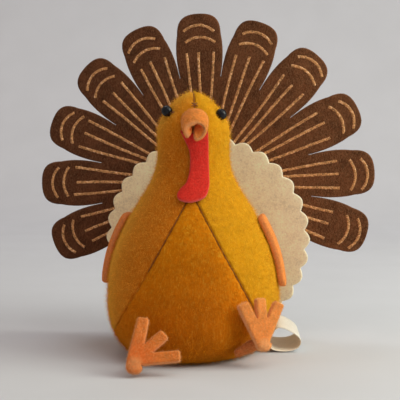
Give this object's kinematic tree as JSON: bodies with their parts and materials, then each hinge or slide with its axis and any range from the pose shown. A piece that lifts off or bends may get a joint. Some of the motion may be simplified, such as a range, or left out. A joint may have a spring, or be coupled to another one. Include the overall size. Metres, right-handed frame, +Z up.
{
  "type": "felt turkey figure",
  "caption": "Stuffed felt turkey that sits on a shelf, with a pear-shaped body, scalloped tail disc, slit feather fan, hinged wings, wattle and floppy feet.",
  "frame": {"origin": "middle of the flat base that the figure sits on", "axes": "+Z up, -Y out of the breast, +X to the figure's left, which is on the right when it faces the viewer"},
  "size_m": [0.1778, 0.1108, 0.1694],
  "materials": {
    "mustard_felt": "soft wool felt, mustard",
    "orange_felt": "thick wool felt, orange",
    "red_felt": "wool felt, red",
    "brown_felt": "stiff wool felt, dark brown",
    "cream_felt": "wool felt, cream",
    "copper_thread": "metallic copper thread lines",
    "ribbon": "satin ribbon, off white",
    "thread": "sewing thread",
    "stuffing": "fibrefill",
    "pellets": "bag of plastic pellets",
    "bead": "polished black bead"
  },
  "bodies": {
    "turkey": {"base_panel": "mustard_felt", "breast_gusset": "mustard_felt", "left_body_panel": "mustard_felt", "right_body_panel": "mustard_felt", "pellet_bag": "pellets", "body_stuffing": "stuffing", "left_eye": "bead", "right_eye": "bead", "eye_thread": "thread", "beak": "orange_felt", "tail_disc": "cream_felt", "tail_fan": "brown_felt", "sewn_tag": "ribbon"},
    "wattle": {"wattle": "red_felt"},
    "left_wing": {"left_wing": "orange_felt"},
    "right_wing": {"right_wing": "orange_felt"},
    "left_leg": {"left_leg": "orange_felt"},
    "left_foot": {"left_foot": "orange_felt"},
    "right_leg": {"right_leg": "orange_felt"},
    "right_foot": {"right_foot": "orange_felt"}
  },
  "joints": [
    {"name": "wattle_lift", "type": "hinge", "parent": "turkey", "child": "wattle", "pos_m": [0.00358, -0.0184, 0.10464], "axis": [-0.9816, -0.1908, 0], "range_deg": [0, 40], "stiffness_Nm_per_rad": 0.001},
    {"name": "left_wing_flap", "type": "hinge", "parent": "turkey", "child": "left_wing", "pos_m": [-0.03178, 0.00334, 0.066], "axis": [0.1045, 0.9945, 0], "range_deg": [0, 75], "stiffness_Nm_per_rad": 0.003},
    {"name": "right_wing_flap", "type": "hinge", "parent": "turkey", "child": "right_wing", "pos_m": [0.03178, 0.00334, 0.066], "axis": [0.1045, -0.9945, 0], "range_deg": [0, 75], "stiffness_Nm_per_rad": 0.003},
    {"name": "left_leg_swing", "type": "hinge", "parent": "turkey", "child": "left_leg", "pos_m": [-0.01604, -0.04602, 0.00639], "axis": [0, 0, 1], "range_deg": [-60, 5], "stiffness_Nm_per_rad": 0.003},
    {"name": "left_foot_tip", "type": "hinge", "parent": "left_leg", "child": "left_foot", "pos_m": [-0.01691, -0.05989, 0.00468], "axis": [0.9903, 0.1392, 0], "range_deg": [-18, 4], "stiffness_Nm_per_rad": 0.003},
    {"name": "right_leg_swing", "type": "hinge", "parent": "turkey", "child": "right_leg", "pos_m": [0.02695, -0.03708, 0.00633], "axis": [0, 0, 1], "range_deg": [-55, 5], "stiffness_Nm_per_rad": 0.003},
    {"name": "right_foot_tip", "type": "hinge", "parent": "right_leg", "child": "right_foot", "pos_m": [0.03644, -0.03568, 0.0113], "axis": [0.8829, 0.4695, 0], "range_deg": [-2, 45], "stiffness_Nm_per_rad": 0.003}
  ]
}
